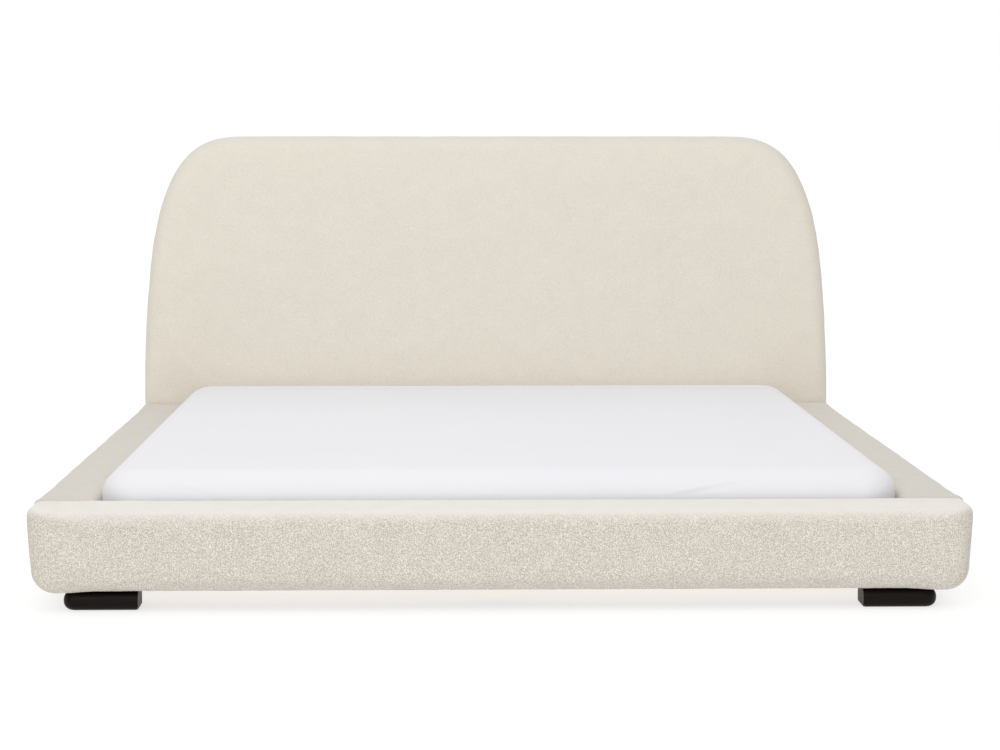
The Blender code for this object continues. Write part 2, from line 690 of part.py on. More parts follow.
def hardware(beams, head_rail, headboard_holes):
    """The four corner angles, their bolts, and the two bolts that hold the headboard."""
    for side_name, side in (("left", -1), ("right", 1)):
        x = side * (CORE_X - CLEAR)
        corner_bracket(
            f"foot_{side_name}_angle", x, CORE_FRONT_Y + CLEAR, side, -1, beams[side_name], beams["foot"]
        )
        corner_bracket(
            f"head_{side_name}_angle", x, HEAD_RAIL_FRONT_Y - CLEAR, side, 1, beams[side_name], head_rail
        )
        start = (side * HEADBOARD_BOLT_X, HEAD_RAIL_FRONT_Y - CLEAR, HEADBOARD_BOLT_Z)
        bolt(f"headboard_bolt_{side_name}", start, "+Y", HEADBOARD_BOLT_LENGTH)
    cut(head_rail, *headboard_holes)


def foot(name, low, high, sides, corners):
    loft(name, block_rings(low, high, sides, corners), "black_lacquered_wood")


def feet():
    """Low blocks with round outward edges: the front pair across the bed, the rear pair along it."""
    show, hidden = FOOT_SHOW_SIDE, FOOT_HIDDEN_SIDE
    big, small = (FOOT_CORNER, CORNER_STEPS), (SQUARE_CORNER, 2)
    top = FOOT_HEIGHT - CLEAR
    y = FRONT_Y + FRONT_FOOT_INSET
    x = HALF_WIDTH - FRONT_FOOT_SIDE_INSET
    foot(
        "foot_front_left",
        (-x, y, 0.0),
        (-x + FOOT_LENGTH, y + FOOT_DEPTH, top),
        (show, hidden, hidden, show),
        [big, small, small, small],
    )
    foot(
        "foot_front_right",
        (x - FOOT_LENGTH, y, 0.0),
        (x, y + FOOT_DEPTH, top),
        (show, show, hidden, hidden),
        [small, big, small, small],
    )
    y = HEAD_Y - REAR_FOOT_HEAD_INSET
    x = HALF_WIDTH - REAR_FOOT_SIDE_INSET
    foot(
        "foot_rear_left",
        (-x, y - FOOT_LENGTH, 0.0),
        (-x + FOOT_DEPTH, y, top),
        (hidden, hidden, show, show),
        [small, small, small, big],
    )
    foot(
        "foot_rear_right",
        (x - FOOT_DEPTH, y - FOOT_LENGTH, 0.0),
        (x, y, top),
        (hidden, show, show, hidden),
        [small, small, big, small],
    )


# ---------------------------------------------------------------- mattress
def bedding():
    """The mattress and its fitted sheet, a skin turned in underneath. An empty lifts them both."""
    low = (-MATTRESS_WIDTH / 2, WELL_FRONT_Y + FOOT_GAP, DECK_TOP)
    high = (MATTRESS_WIDTH / 2, HEAD_Y - HEAD_GAP, DECK_TOP + MATTRESS_HEIGHT)
    sides = (MATTRESS_SIDE,) * 4
    corners = [(MATTRESS_CORNER, CORNER_STEPS)] * 4
    lift = bpy.data.objects.new("mattress_lift_axis", None)
    bpy.context.scene.collection.objects.link(lift)
    lift.location = (0.0, (low[1] + high[1]) / 2, DECK_TOP)
    sheet = shell("fitted_sheet", low, high, sides, corners, SHEET, "white_cotton")
    core = block_rings(low, high, sides, corners, SHEET + CLEAR)
    for piece in (sheet, loft("mattress", core, "mattress_ticking")):
        piece.parent = lift
        piece.location = -lift.location


clear_scene()
side_and_foot_beams = rails()
bolt_holes = headboard()
timber_head_rail = deck_timber()
centre_supports()
hardware(side_and_foot_beams, timber_head_rail, bolt_holes)
feet()
bedding()
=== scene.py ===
"""Looks of a king-size platform bed: loop-pile upholstery on the rails and the tall headboard, a white
fitted sheet over the mattress, lacquered feet and the slatted deck inside. Metres, +Z up, foot end at -Y.
"""

import math

import bpy
import numpy as np
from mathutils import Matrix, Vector


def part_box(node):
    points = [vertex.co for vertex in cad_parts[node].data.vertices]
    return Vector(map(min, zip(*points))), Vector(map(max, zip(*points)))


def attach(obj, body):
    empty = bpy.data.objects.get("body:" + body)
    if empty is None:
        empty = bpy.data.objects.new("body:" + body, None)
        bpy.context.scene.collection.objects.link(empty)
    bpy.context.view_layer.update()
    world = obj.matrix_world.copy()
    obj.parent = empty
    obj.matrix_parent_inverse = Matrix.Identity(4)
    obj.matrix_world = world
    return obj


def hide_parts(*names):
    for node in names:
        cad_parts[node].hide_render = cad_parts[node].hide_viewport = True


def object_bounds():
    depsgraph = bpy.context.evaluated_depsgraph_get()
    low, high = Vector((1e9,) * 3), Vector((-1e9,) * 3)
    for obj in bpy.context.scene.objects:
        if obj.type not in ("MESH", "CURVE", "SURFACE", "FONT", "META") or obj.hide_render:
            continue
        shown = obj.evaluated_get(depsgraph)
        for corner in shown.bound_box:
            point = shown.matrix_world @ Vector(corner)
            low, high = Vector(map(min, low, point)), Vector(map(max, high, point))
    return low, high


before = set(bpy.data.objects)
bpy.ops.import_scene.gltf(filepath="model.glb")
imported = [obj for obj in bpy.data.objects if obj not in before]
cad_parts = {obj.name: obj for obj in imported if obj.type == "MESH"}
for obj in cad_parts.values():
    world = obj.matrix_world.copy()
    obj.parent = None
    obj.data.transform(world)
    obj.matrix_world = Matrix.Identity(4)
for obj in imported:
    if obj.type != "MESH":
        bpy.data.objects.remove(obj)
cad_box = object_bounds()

MM = 0.001
EASE = 0.003  # covers are cut this share larger than the foam
PRESSURE = 4.0  # that blows a cover up, in Blender's units
FRAMES = 20  # that it is blown up for
AXES = {"x": 0, "y": 1, "z": 2}


# ---------------------------------------------------------------- surfaces
def spaced(low, high, step):
    """Even steps from low to high, none longer than step."""
    return np.linspace(low, high, max(2, math.ceil((high - low) / step) + 1))


def block(xs, ys, zs):
    """The surface of a block: every point where the planes xs, ys and zs cross on its six sides, each
    once, and the quads between them, facing out."""
    shape = len(xs), len(ys), len(zs)
    outside = np.ones(shape, bool)
    outside[1:-1, 1:-1, 1:-1] = False
    index = np.full(shape, -1)
    index[outside] = np.arange(outside.sum())
    points = np.stack(np.meshgrid(xs, ys, zs, indexing="ij"), axis=-1)[outside]
    quads = []
    for axis in range(3):
        for end in (0, -1):
            side = np.take(index, end, axis=axis)
            quad = np.stack([side[:-1, :-1], side[1:, :-1], side[1:, 1:], side[:-1, 1:]], axis=-1)
            quad = quad.reshape(-1, 4)
            quads.append(quad[:, ::-1] if (end == 0) != (axis == 1) else quad)
    return points, np.concatenate(quads)


def strip(us, vs):
    """A flat sheet: points at every (u, v, 0), and the quads between them, facing +Z."""
    grid = np.stack(np.meshgrid(us, vs, [0.0], indexing="ij"), axis=-1)
    index = np.arange(len(us) * len(vs)).reshape(len(us), len(vs))
    quad = np.stack([index[:-1, :-1], index[1:, :-1], index[1:, 1:], index[:-1, 1:]], axis=-1)
    return grid.reshape(-1, 3), quad.reshape(-1, 4)


def bent(s, t, power=2.0):
    """Bends a square ring round. s and t are a point's distances from the corner's centre towards its two
    sides, as shares of the corner's size. The larger one is the ring it is on; the point goes onto the
    superellipse of that power and size, at an angle in proportion to its place along the ring."""
    ring = np.maximum(np.maximum(s, t), 1e-9)
    angle = np.where(s >= t, t / ring, 2 - s / ring) * math.pi / 4
    share = 2 / power
    return ring * np.cos(angle).clip(0) ** share, ring * np.sin(angle).clip(0) ** share


def ease(points, first, second, radius):
    """Rounds the edge between two of a block's sides, each (axis, place, outward sign): depths under the
    two sides, in radii, are bent onto a circle."""
    (i, at_i, out_i), (j, at_j, out_j) = first, second
    s = 1 - (at_i - points[:, i]) * out_i / radius
    t = 1 - (at_j - points[:, j]) * out_j / radius
    near = (s > 0) & (t > 0)
    s, t = bent(s[near], t[near])
    points[near, i] = at_i - out_i * radius * (1 - s)
    points[near, j] = at_j - out_j * radius * (1 - t)


def upholster(points, axes, low, high, corners, rolls, rim):
    """Rounds a block's outline and rolls its edges over, moving points in place.

    axes are (p, q, w): the outline is in the p-q plane and w is the depth. corners are four (size along p,
    size along q, power) from the low-p low-q one, anticlockwise. rolls are four (radius at low w, radius at
    high w) for the sides low p, low q, high p and high q. A point's inset is its depth under the nearest
    side. The pair (inset, depth under the w face) is bent onto a circle of the roll's radius. Then the
    rectangle at that inset has its corners bent onto superellipses, smaller by the inset; further in than
    rim they shrink in proportion."""
    p, q, w = (points[:, AXES[k]].copy() for k in axes)
    (p0, q0, w0), (p1, q1, w1) = ([end[AXES[k]] for k in axes] for end in (low, high))
    depths = np.stack([p - p0, q - q0, p1 - p, q1 - q])
    side = depths.argmin(axis=0)
    inset = depths.min(axis=0)
    radii = np.array(rolls, float)[side]
    arcs = []
    for (a, b, power), (side_p, side_q) in zip(corners, ((0, 1), (2, 1), (2, 3), (0, 3))):
        s, t = a - depths[side_p], b - depths[side_q]
        inside = (s > 0) & (t > 0)
        s, t, deep = s[inside], t[inside], np.minimum(inset[inside], rim)
        u, v = s / (a - deep), t / (b - deep)
        ring = np.maximum(np.maximum(u, v), 1e-9)
        angle = np.where(u >= v, v / ring, 2 - u / ring) / 2
        radii[inside] = np.outer(1 - angle, rolls[side_p]) + np.outer(angle, rolls[side_q])
        arcs.append((a, b, power, side_p, side_q, inside, u, v))
    rolled = inset.copy()
    for place, face, out in ((1, w1, 1), (0, w0, -1)):
        radius = radii[:, place]
        s, t = 1 - inset / radius, 1 - (face - w) * out / radius
        near = (s > 0) & (t > 0)
        s, t = bent(s[near], t[near])
        rolled[near] = radius[near] * (1 - s)
        w[near] = face - out * radius[near] * (1 - t)
    places = (p0 + rolled, q0 + rolled, p1 - rolled, q1 - rolled)
    for k, coordinate in enumerate((p, q, p, q)):
        moved = (side == k) & (rolled != inset)
        coordinate[moved] = places[k][moved]
    for a, b, power, side_p, side_q, inside, u, v in arcs:
        deep = np.minimum(rolled[inside], rim)
        s, t = bent(u, v, power)
        s, t = s * (a - deep), t * (b - deep)
        p[inside] = p0 + a - s if side_p == 0 else p1 - a + s
        q[inside] = q0 + b - t if side_q == 1 else q1 - b + t
    for k, coordinate in zip(axes, (p, q, w)):
        points[:, AXES[k]] = coordinate


def normals(points, quads):
    """Each point's outward direction: the sum of its quads' normals, by area, made unit length."""
    corner = points[quads]
    face = np.cross(corner[:, 2] - corner[:, 0], corner[:, 3] - corner[:, 1])
    total = np.zeros_like(points)
    for k in range(4):
        np.add.at(total, quads[:, k], face)
    return total / np.linalg.norm(total, axis=1)[:, None].clip(1e-12)


def wander(points, wavelength, seed):
    """Smooth unevenness between about -1 and 1: a sum of sine waves in random directions, each about one
    wavelength long."""
    waves = 14
    random = np.random.default_rng(seed)
    ways = random.normal(size=(waves, 3))
    ways /= np.linalg.norm(ways, axis=1)[:, None]
    rates = 2 * math.pi / (wavelength * random.uniform(0.7, 1.5, waves))
    phases = random.uniform(0, 2 * math.pi, waves)
    return np.sin(points @ (ways * rates[:, None]).T + phases).sum(axis=1) / math.sqrt(waves)


def rise(value, low, high):
    """0 below low and 1 above high, with a smooth slope between."""
    share = ((value - low) / (high - low)).clip(0, 1)
    return share * share * (3 - 2 * share)


def depth_in(points, low, high, axes=(0, 1)):
    """How far in each point is from the nearest side of the box from low to high, along two axes."""
    sides = [points[:, k] - low[k] for k in axes] + [high[k] - points[:, k] for k in axes]
    return np.min(sides, axis=0)


def puffed(points, quads, held, cap):
    """The surface after Blender's cloth has been blown up from inside for some frames, without gravity.
    held is 1 where a point is stapled down and 0 where it is free. No point ends further than cap from
    its start."""
    obj = make_mesh("pressing", points, quads)
    group = obj.vertex_groups.new(name="held")
    for index in np.nonzero(held > 0.01)[0]:
        group.add([int(index)], float(held[index]), "REPLACE")
    cloth = obj.modifiers.new("cloth", "CLOTH")
    settings = cloth.settings
    settings.quality = 5
    settings.mass = 0.4
    settings.tension_stiffness = settings.compression_stiffness = 20
    settings.shear_stiffness = 10
    settings.bending_stiffness = 2.0
    settings.shrink_min = -EASE
    settings.use_pressure = True
    settings.uniform_pressure_force = PRESSURE
    settings.vertex_group_mass = group.name
    settings.pin_stiffness = 5
    settings.effector_weights.gravity = 0
    cloth.collision_settings.use_collision = False
    cloth.collision_settings.use_self_collision = False
    cloth.point_cache.frame_start, cloth.point_cache.frame_end = 1, FRAMES
    scene = bpy.context.scene
    for number in range(1, FRAMES + 1):
        scene.frame_set(number)
    settled = obj.evaluated_get(bpy.context.evaluated_depsgraph_get())
    moved = np.zeros(len(points) * 3, np.float32)
    settled.data.vertices.foreach_get("co", moved)
    bpy.data.objects.remove(obj)
    scene.frame_set(1)
    shift = moved.reshape(-1, 3) - points
    length = np.linalg.norm(shift, axis=1)[:, None].clip(1e-9)
    return points + shift / length * cap * np.tanh(length / cap)


def make_mesh(name, points, quads, material=None, subdivide=0):
    """An object at the origin whose mesh holds the points and the quads, shaded smooth."""
    mesh = bpy.data.meshes.new(name)
    mesh.vertices.add(len(points))
    mesh.vertices.foreach_set("co", np.ascontiguousarray(points, np.float32).ravel())
    mesh.loops.add(quads.size)
    mesh.loops.foreach_set("vertex_index", quads.astype(np.int32).ravel())
    mesh.polygons.add(len(quads))
    mesh.polygons.foreach_set("loop_start", np.arange(0, quads.size, 4, dtype=np.int32))
    mesh.update(calc_edges=True)
    mesh.validate()
    mesh.shade_smooth()
    obj = bpy.data.objects.new(name, mesh)
    bpy.context.scene.collection.objects.link(obj)
    if material:
        mesh.materials.append(material)
    if subdivide:
        modifier = obj.modifiers.new("finer", "SUBSURF")
        modifier.levels = modifier.render_levels = subdivide
    return obj


# ---------------------------------------------------------------- materials
def linear(code):
    """A colour from its sRGB hex code, as linear red, green, blue and alpha."""
    shares = [int(code[k : k + 2], 16) / 255 for k in (1, 3, 5)]
    return [c / 12.92 if c <= 0.04045 else ((c + 0.055) / 1.055) ** 2.4 for c in shares] + [1.0]


def add(tree, kind, inputs=(), **settings):
    """Adds a node with its settings; inputs maps each socket to a value or to the socket it reads."""
    node = tree.nodes.new("ShaderNode" + kind)
    for key, value in settings.items():
        setattr(node, key, value)
    for key, value in dict(inputs).items():
        if isinstance(value, bpy.types.NodeSocket):
            tree.links.new(value, node.inputs[key])
        else:
            node.inputs[key].default_value = value
    return node


def start(name, **constants):
    """A new material, its tree, its Principled shader with those constants set, and Object coordinates."""
    material = bpy.data.materials.new(name)
    material.use_nodes = True
    tree = material.node_tree
    shader = tree.nodes["Principled BSDF"]
    for key, value in constants.items():
        shader.inputs[key.replace("_", " ")].default_value = value
    return material, tree, shader, add(tree, "TexCoord").outputs["Object"]


def loop_pile(name, light, dark, painted_top_shading, depth, patches=0.045):
    """Cream bouclé: looped wool-look yarn. Its curls are about 2.5 mm across and two or three times as
    long, and their loose fibres glow at grazing angles. Painted shade: the colour is light on the curls'
    tops and dark in the gaps between. Where it faces up, the curls' relief is lower, the gaps' painted
    shade is dropped, and painted_top_shading, a colour that paints how brightly the tops are lit, is
    painted in.
    depth is how far the curls stand up, in metres, and patches how much lighter or darker it is where the
    pile leans."""
    material, tree, shader, place = start(
        name,
        Roughness=0.95,
        Specular_IOR_Level=0.12,
        Sheen_Weight=0.3,
        Sheen_Roughness=0.5,
        Sheen_Tint=linear("#FFFEFB"),
    )
    stir = add(tree, "TexNoise", {"Vector": place, "Scale": 1 / (6 * MM), "Detail": 1.0})
    push = add(tree, "VectorMath", {0: stir.outputs["Color"], 1: (0.5,) * 3}, operation="SUBTRACT")
    swirled = add(
        tree,
        "VectorMath",
        {0: push.outputs[0], 1: (2 * MM,) * 3, 2: place},
        operation="MULTIPLY_ADD",
    )
    # lines of equal height on a smooth noise, about 2.5 mm apart, wind like the yarn does
    hills = add(tree, "TexNoise", {"Vector": swirled.outputs[0], "Scale": 1 / (5 * MM), "Detail": 0.0})
    turns = add(tree, "Math", {0: hills.outputs["Fac"], 1: 2 * math.pi * 3}, operation="MULTIPLY")
    yarn = add(tree, "Math", {0: turns.outputs[0]}, operation="SINE")
    # and each curl ends in a knot
    knots = add(
        tree,
        "TexVoronoi",
        {"Vector": swirled.outputs[0], "Scale": 1 / (2.7 * MM), "Smoothness": 0.4},
        feature="SMOOTH_F1",
    )
    lumps = add(
        tree,
        "Math",
        {0: knots.outputs["Distance"], 1: -6.4, 2: yarn.outputs[0]},
        operation="MULTIPLY_ADD",
    )
    fibres = add(tree, "TexNoise", {"Vector": place, "Scale": 1 / (1.6 * MM), "Detail": 2.0})
    height = add(
        tree,
        "Math",
        {0: fibres.outputs["Fac"], 1: 0.8, 2: lumps.outputs[0]},
        operation="MULTIPLY_ADD",
    )
    top = add(tree, "MapRange", {"Value": height.outputs[0], "From Min": -4.4, "From Max": -1.5})
    # painted shade: the gaps between the curls get the dark colour and the curl tops the light one
    shaded = add(
        tree,
        "Mix",
        {"Factor": top.outputs[0], 6: linear(dark), 7: linear(light)},
        data_type="RGBA",
    )
    # painted light and shade on the tops: where the surface faces up, the gaps' painted shade gives way to
    # one colour that paints how brightly the tops are lit
    facing = add(tree, "SeparateXYZ", {0: add(tree, "TexCoord").outputs["Normal"]})
    flat = add(tree, "MapRange", {"Value": facing.outputs[2], "From Min": 0.12, "From Max": 0.78})
    painted_top_mixed = add(
        tree,
        "Mix",
        {"Factor": flat.outputs[0], 6: shaded.outputs[2], 7: linear(painted_top_shading)},
        data_type="RGBA",
    )
    # the pile lies this way and that, which shows as faint patches about 60 mm wide
    nap = add(tree, "TexNoise", {"Vector": place, "Scale": 1 / (60 * MM), "Detail": 2.0})
    lean = add(
        tree,
        "MapRange",
        {"Value": nap.outputs["Fac"], "To Min": 1 - patches, "To Max": 1 + patches},
    )
    colour = add(
        tree,
        "VectorMath",
        {0: painted_top_mixed.outputs[2], "Scale": lean.outputs[0]},
        operation="SCALE",
    )
    tree.links.new(colour.outputs[0], shader.inputs["Base Color"])
    stand = add(tree, "MapRange", {"Value": flat.outputs[0], "To Min": 1.0, "To Max": 0.25})
    relief = add(
        tree,
        "Bump",
        {"Height": top.outputs[0], "Strength": stand.outputs[0], "Distance": depth},
    )
    tree.links.new(relief.outputs[0], shader.inputs["Normal"])
    return material


def percale():
    """White cotton percale, tightly woven and ironed: matt, with a faint soft sheen. The threads are far
    finer than shows, so the weave is drawn at 1.6 mm."""
    material, tree, shader, place = start(
        "white_cotton_percale",
        Roughness=0.8,
        Specular_IOR_Level=0.25,
        Sheen_Weight=0.15,
        Sheen_Roughness=0.4,
    )
    tone = add(tree, "TexNoise", {"Vector": place, "Scale": 1 / (400 * MM), "Detail": 2.0})
    colour = add(
        tree,
        "Mix",
        {"Factor": tone.outputs["Fac"], 6: linear("#EDEDF0"), 7: linear("#E9E9ED")},
        data_type="RGBA",
    )
    tree.links.new(colour.outputs[2], shader.inputs["Base Color"])
    threads = add(tree, "TexNoise", {"Vector": place, "Scale": 1 / (1.6 * MM), "Detail": 1.0})
    relief = add(
        tree,
        "Bump",
        {"Height": threads.outputs["Fac"], "Strength": 0.25, "Distance": 0.3 * MM},
    )
    tree.links.new(relief.outputs[0], shader.inputs["Normal"])
    return material


def wood(name, along, light, dark, grain, roughness, gloss=0.5):
    """Planed wood. The grain is noise stretched twelve times along one axis, with broad rings across it;
    grain is its width in metres."""
    material, tree, shader, place = start(name, Roughness=roughness, Specular_IOR_Level=gloss)
    stretch = [1 / grain] * 3
    stretch[AXES[along]] /= 12
    drawn = add(tree, "Mapping", {"Vector": place, "Scale": stretch})
    fine = add(tree, "TexNoise", {"Vector": drawn.outputs[0], "Scale": 1.0, "Detail": 4.0})
    rings = add(
        tree,
        "TexNoise",
        {"Vector": drawn.outputs[0], "Scale": 0.16, "Detail": 2.0, "Distortion": 0.6},
    )
    lines = add(tree, "Math", {0: rings.outputs["Fac"], 1: 9.0}, operation="MULTIPLY")
    wave = add(tree, "Math", {0: lines.outputs[0]}, operation="PINGPONG")
    wave.inputs[1].default_value = 1.0
    both = add(tree, "Math", {0: fine.outputs["Fac"], 1: wave.outputs[0]}, operation="MULTIPLY")
    colour = add(
        tree,
        "Mix",
        {"Factor": both.outputs[0], 6: linear(light), 7: linear(dark)},
        data_type="RGBA",
    )
    tree.links.new(colour.outputs[2], shader.inputs["Base Color"])
    bump = add(
        tree,
        "Bump",
        {"Height": fine.outputs["Fac"], "Strength": 0.15, "Distance": 0.4 * MM},
    )
    tree.links.new(bump.outputs[0], shader.inputs["Normal"])
    return material


def grained(name, light, dark, size, roughness, relief, metallic=0.0):
    """A surface with an even fine grain, such as powder coat, plating or moulded plastic: noise of that
    size mixes two colours and gives the relief."""
    material, tree, shader, place = start(name, Roughness=roughness, Metallic=metallic)
    cells = add(tree, "TexNoise", {"Vector": place, "Scale": 1 / size, "Detail": 3.0})
    colour = add(
        tree,
        "Mix",
        {"Factor": cells.outputs["Fac"], 6: linear(light), 7: linear(dark)},
        data_type="RGBA",
    )
    tree.links.new(colour.outputs[2], shader.inputs["Base Color"])
    bump = add(
        tree,
        "Bump",
        {"Height": cells.outputs["Fac"], "Strength": relief, "Distance": 0.2 * MM},
    )
    tree.links.new(bump.outputs[0], shader.inputs["Normal"])
    return material


def woven(name, light, dark, pitch, roughness, across=("x", "y"), relief=0.5):
    """Coarse plain weave: the product of two sine ridges, one for each thread direction, pitch apart."""
    material, tree, shader, place = start(name, Roughness=roughness, Sheen_Weight=0.2)
    apart = add(tree, "SeparateXYZ", {0: place})
    ridges = []
    for axis in across:
        scaled = add(
            tree,
            "Math",
            {0: apart.outputs[AXES[axis]], 1: math.pi / pitch},
            operation="MULTIPLY",
        )
        wave = add(tree, "Math", {0: scaled.outputs[0]}, operation="SINE")
        ridges.append(add(tree, "Math", {0: wave.outputs[0]}, operation="ABSOLUTE"))
    weave = add(
        tree,
        "Math",
        {0: ridges[0].outputs[0], 1: ridges[1].outputs[0]},
        operation="MULTIPLY",
    )
    colour = add(
        tree,
        "Mix",
        {"Factor": weave.outputs[0], 6: linear(dark), 7: linear(light)},
        data_type="RGBA",
    )
    tree.links.new(colour.outputs[2], shader.inputs["Base Color"])
    bump = add(
        tree,
        "Bump",
        {"Height": weave.outputs[0], "Strength": relief, "Distance": 0.4 * MM},
    )
    tree.links.new(bump.outputs[0], shader.inputs["Normal"])
    return material


# warm cream: painted shade in the curls' gaps on the upright faces, and a lighter painted top without it,
# as painted light where the light falls on top
BOUCLE = loop_pile("cream_boucle_loop_pile", "#F3EDE3", "#C7BFB1", "#E8E4DD", 0.8 * MM)
# the side rails' tops are painted darker and greyer, as painted shade for the dimmer light along them
BOUCLE_SIDES = loop_pile("cream_boucle_side_rails", "#F1EBE0", "#C7BFB1", "#D1CBC2", 0.8 * MM)
# on the headboard the curls stand low and the painted shade in their gaps is faint, so they barely show and
# it looks like felt; its top is painted a little darker, as painted shade
BOUCLE_HEADBOARD = loop_pile("cream_boucle_headboard", "#E6E0D4", "#DDD6C9", "#DBD6CC", 0.25 * MM, 0.025)
PERCALE = percale()
# open-pored ash under black lacquer: nearly black with a brown cast, and a dull gleam on its edges
LACQUER_X = wood("black_lacquered_ash_x", "x", "#130C08", "#080503", 3 * MM, 0.42, gloss=0.12)
LACQUER_Y = wood("black_lacquered_ash_y", "y", "#130C08", "#080503", 3 * MM, 0.42, gloss=0.12)
LACQUER_Z = wood("black_lacquered_ash_z", "z", "#130C08", "#080503", 3 * MM, 0.42, gloss=0.12)
# planed and unfinished: pale yellow-brown, with long grain and no gloss
PINE_X = wood("planed_pine_x", "x", "#E3C08A", "#B98549", 5 * MM, 0.55)
PINE_Y = wood("planed_pine_y", "y", "#E3C08A", "#B98549", 5 * MM, 0.55)
# a rotary-cut face veneer, sanded: broad, faint, upright figure
PLYWOOD = wood("sanded_poplar_plywood", "z", "#D9BE93", "#B8976A", 7 * MM, 0.6)
# an off-white plain weave, drawn at 2.5 mm because its real threads wouldn't show
TICKING = woven("mattress_ticking_weave", "#EAE8E2", "#D2CFC6", 2.5 * MM, 0.9)
# thin black polypropylene, dull, with the small embossed squares that bond its fibres
DUST_CLOTH = woven("spunbonded_dust_cloth", "#242423", "#161616", 1.6 * MM, 0.9, relief=0.35)
DUST_CLOTH_BACK = woven(
    "spunbonded_back_cloth", "#242423", "#161616", 1.6 * MM, 0.9, across=("x", "z"), relief=0.35
)
# bright zinc plating: cool grey metal, a little cloudy
ZINC = grained("zinc_plated_steel", "#C9CACB", "#B4B7BA", 4 * MM, 0.34, 0.05, metallic=1.0)
# baked powder: satin black with a fine orange-peel surface
POWDER = grained("black_powder_coat", "#1C1C1D", "#111112", 0.9 * MM, 0.5, 0.3)
# moulded nylon: smoother than the powder coat, and a touch glossier
NYLON = grained("moulded_black_nylon", "#1B1B1C", "#131314", 1.2 * MM, 0.42, 0.1)
# grey-brown polyester tape with a coarse, plainly visible weave
WEBBING = woven("polyester_webbing", "#8A867D", "#5E5B55", 2.2 * MM, 0.85)


# ---------------------------------------------------------------- places from the frame
FOOT_LOW, FOOT_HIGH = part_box("foot_rail_cover")
HEAD_LOW, HEAD_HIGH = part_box("headboard_cover")
SIDE_BOX = {side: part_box(side + "_side_rail_cover") for side in ("left", "right")}
BARE = {side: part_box(side + "_side_rail_box_beam") for side in ("left", "right")}
SUPPORT_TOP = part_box("centre_beam")[1].z

FOOT_ROLL = (52 * MM, 21 * MM)  # of the foot rail's show sides: along the bottom, along the top
SIDE_ROLL = (52 * MM, 15 * MM)  # and of the side rails'
TRAY_ROLL = (8 * MM, 12 * MM)  # of the rails' inner sides, along the tray
FOOT_BUTT_ROLL = 7 * MM  # of the foot rail's back, where the side rails butt against it
SIDE_BUTT_ROLL = 6 * MM  # and of the side rails' ends
PLAN_CORNER = 55 * MM  # of the rails, seen from above
HEADBOARD_ROLL = (44 * MM, 12 * MM)  # of the headboard's sides and top: along the face, along the back
HEADBOARD_FOOT_ROLL = (10 * MM, 10 * MM)  # and of its bottom edge
FEET_ROLL = (20 * MM, 22 * MM)  # of the feet's show sides
FEET_CORNER = 30 * MM  # and the round corner between them
SHY = 2 * MM  # padding starts this much inside its CAD cover, because blowing it up swells it
PROUD = 1.5 * MM  # but its narrow ends start this much outside, because there the cloth pulls in
FACE_BACK = 6.5 * MM  # the headboard's broad face swells most, and the mattress slides up along it
TAPER = 12 * MM  # the foot rail's ends lean in by this much towards the floor
DROOP = 4 * MM  # and the foam there sags by this much
DROOP_TOP = 40 * MM  # both start this far below the rail's top
DROOP_FULL, DROOP_NONE = 60 * MM, 160 * MM  # in from the rail's end: where both are full, and where gone
SHOULDER = (370 * MM, 975 * MM, 3.25)  # of the headboard: its width, its drop, its superellipse's power
STAND_OUT = 6 * MM  # the headboard's sides stand out by this much low down, behind the rails
RAIL_SWELL = 5 * MM  # the furthest that blowing up may move a rail's cloth
HEADBOARD_SWELL = 6 * MM  # and the headboard's
BUTT_HOLD = 0.6  # how firmly the cloth is held where a rail butts against its neighbour
HEM_RISE = 4 * MM  # the cloth's hem, above the deck's timbers
HEM_TUCK = 12 * MM  # and how far it is turned in there
PAST = 200 * MM  # how far a form is drawn on past an end that is cut off square
UNDER_LIFT = 3 * MM  # the cover's edge laps the dust cloth by this much
UNDER_RIM = 51 * MM  # and is turned in under the rail by this much
RAIL_RIM = 53 * MM  # in from a rail's side, the band in which its outline's corners keep their form
HEM_WIDTH = 75 * MM  # the fitted sheet is turned in under the mattress by this much
MATTRESS_ROLL = (30 * MM, 70 * MM)  # of the mattress: along the bottom, along the top
MATTRESS_CORNER = 95 * MM  # and its corners, seen from above
CROWN = 2 * MM  # its top rises by this much towards the middle
EDGE_FALL = 6 * MM  # and falls by this much towards its edge
GATHER = 1.2 * MM  # the elastic's gathers rise and fall by this much
UNEVEN = ((0.4 * MM, 180 * MM), (0.3 * MM, 45 * MM))  # of the foam: how high, and how long a wave
NEAR = 1 * MM  # a point this near a plane counts as lying in it
SLATS = sorted(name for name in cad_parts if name.startswith("slat_") and name != "slat_tape")


def tuck_under(points, low, sides):
    """Lifts the underside inwards of the turned-in edge. sides are (axis, place, outward sign, inset)."""
    flat = points[:, 2] < low[2] + 0.1 * MM
    inner = np.ones(len(points), bool)
    for axis, place, out, inset in sides:
        inner &= (place - points[:, axis]) * out > inset
    points[flat & inner, 2] += UNDER_LIFT
    return flat & inner


def finish_padding(part, points, quads, held, cap, seed, material):
    """Blows the padding up, adds the foam's slight unevenness, and puts the piece on the frame in place
    of the part's CAD cover and foam."""
    points = puffed(points, quads, held, cap)
    free = (1 - held)[:, None]
    uneven = sum(high * wander(points, long, seed + k) for k, (high, long) in enumerate(UNEVEN))
    points = points + normals(points, quads) * uneven[:, None] * free
    piece = make_mesh(part + "_upholstery", points, quads, material, subdivide=1)
    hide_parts(part + "_cover", part + "_foam")
    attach(piece, "frame")


